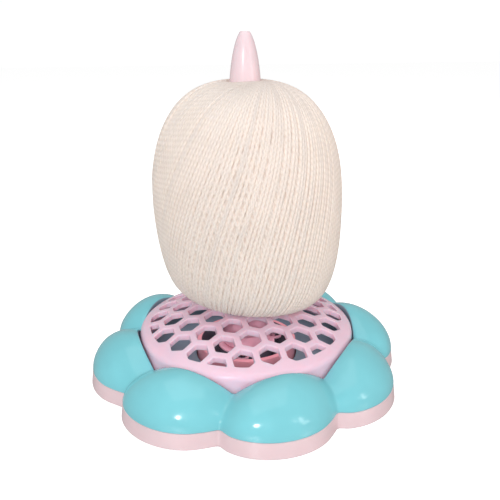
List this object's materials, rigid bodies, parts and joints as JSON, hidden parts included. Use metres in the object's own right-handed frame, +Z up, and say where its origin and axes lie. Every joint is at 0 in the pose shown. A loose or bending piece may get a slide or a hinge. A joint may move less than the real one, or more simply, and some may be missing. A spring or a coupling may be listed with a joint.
{
  "type": "yarn ball holder",
  "caption": "Flower-shaped yarn holder: a base of domed petals, a honeycomb turntable on a ball bearing and an upright spindle that carries a wound ball of yarn.",
  "frame": {"origin": "middle of the flower on the surface that the foot pads stand on", "axes": "+Z up along the turntable's axis and the spindle; one petal points to -Y, the front; +X to the right"},
  "size_m": [0.1516, 0.1516, 0.1591],
  "materials": {
    "pink_plastic": "glossy moulded, pale pink",
    "teal_plastic": "high gloss moulded, light teal",
    "cream_yarn": "soft matt wound yarn, cream",
    "foot_rubber": "matt",
    "plain_steel": "zinc plated, satin",
    "bearing_steel": "ground and polished",
    "cage_brass": "pressed, satin"
  },
  "bodies": {
    "base": {"base_tray": "pink_plastic", "access_cap": "pink_plastic", "petal_cover": "teal_plastic", "foot_pad_1": "foot_rubber", "foot_pad_2": "foot_rubber", "foot_pad_3": "foot_rubber", "foot_pad_4": "foot_rubber", "foot_pad_5": "foot_rubber", "foot_pad_6": "foot_rubber", "foot_pad_7": "foot_rubber", "foot_pad_8": "foot_rubber", "cover_screw_1": "plain_steel", "cover_screw_2": "plain_steel", "cover_screw_3": "plain_steel", "cover_screw_4": "plain_steel", "ballast_ring": "plain_steel", "ballast_screw_1": "plain_steel", "ballast_screw_2": "plain_steel", "ballast_screw_3": "plain_steel", "bearing_outer_ring": "bearing_steel", "bearing_upper_shield": "bearing_steel", "bearing_lower_shield": "bearing_steel", "bearing_retainer": "pink_plastic", "retainer_screw_1": "plain_steel", "retainer_screw_2": "plain_steel", "retainer_screw_3": "plain_steel"},
    "turntable": {"turntable_dome": "pink_plastic", "turntable_hub": "pink_plastic", "hub_screw_1": "plain_steel", "hub_screw_2": "plain_steel", "hub_screw_3": "plain_steel", "hub_spacer": "plain_steel", "axle": "plain_steel", "axle_washer": "plain_steel", "axle_screw": "plain_steel", "bearing_inner_ring": "bearing_steel"},
    "cage": {"bearing_cage": "cage_brass", "bearing_ball_1": "bearing_steel", "bearing_ball_2": "bearing_steel", "bearing_ball_3": "bearing_steel", "bearing_ball_4": "bearing_steel", "bearing_ball_5": "bearing_steel", "bearing_ball_6": "bearing_steel", "bearing_ball_7": "bearing_steel"},
    "spindle": {"spindle": "pink_plastic"},
    "yarn": {"yarn_ball": "cream_yarn"}
  },
  "joints": [
    {"name": "turntable_spin", "type": "hinge", "parent": "base", "child": "turntable", "pos_m": [0, 0, 0], "axis": [0, 0, 1], "continuous": true},
    {"name": "cage_spin", "type": "hinge", "parent": "base", "child": "cage", "pos_m": [0, 0, 0], "axis": [0, 0, 1], "continuous": true},
    {"name": "spindle_pull", "type": "slide", "parent": "turntable", "child": "spindle", "axis": [0, 0, 1], "range_m": [0, 0.024]},
    {"name": "yarn_lift", "type": "slide", "parent": "spindle", "child": "yarn", "axis": [0, 0, 1], "range_m": [0, 0.124]}
  ],
  "couplings": [
    {"joint": "cage_spin", "follows": "turntable_spin", "ratio": 0.3723}
  ]
}
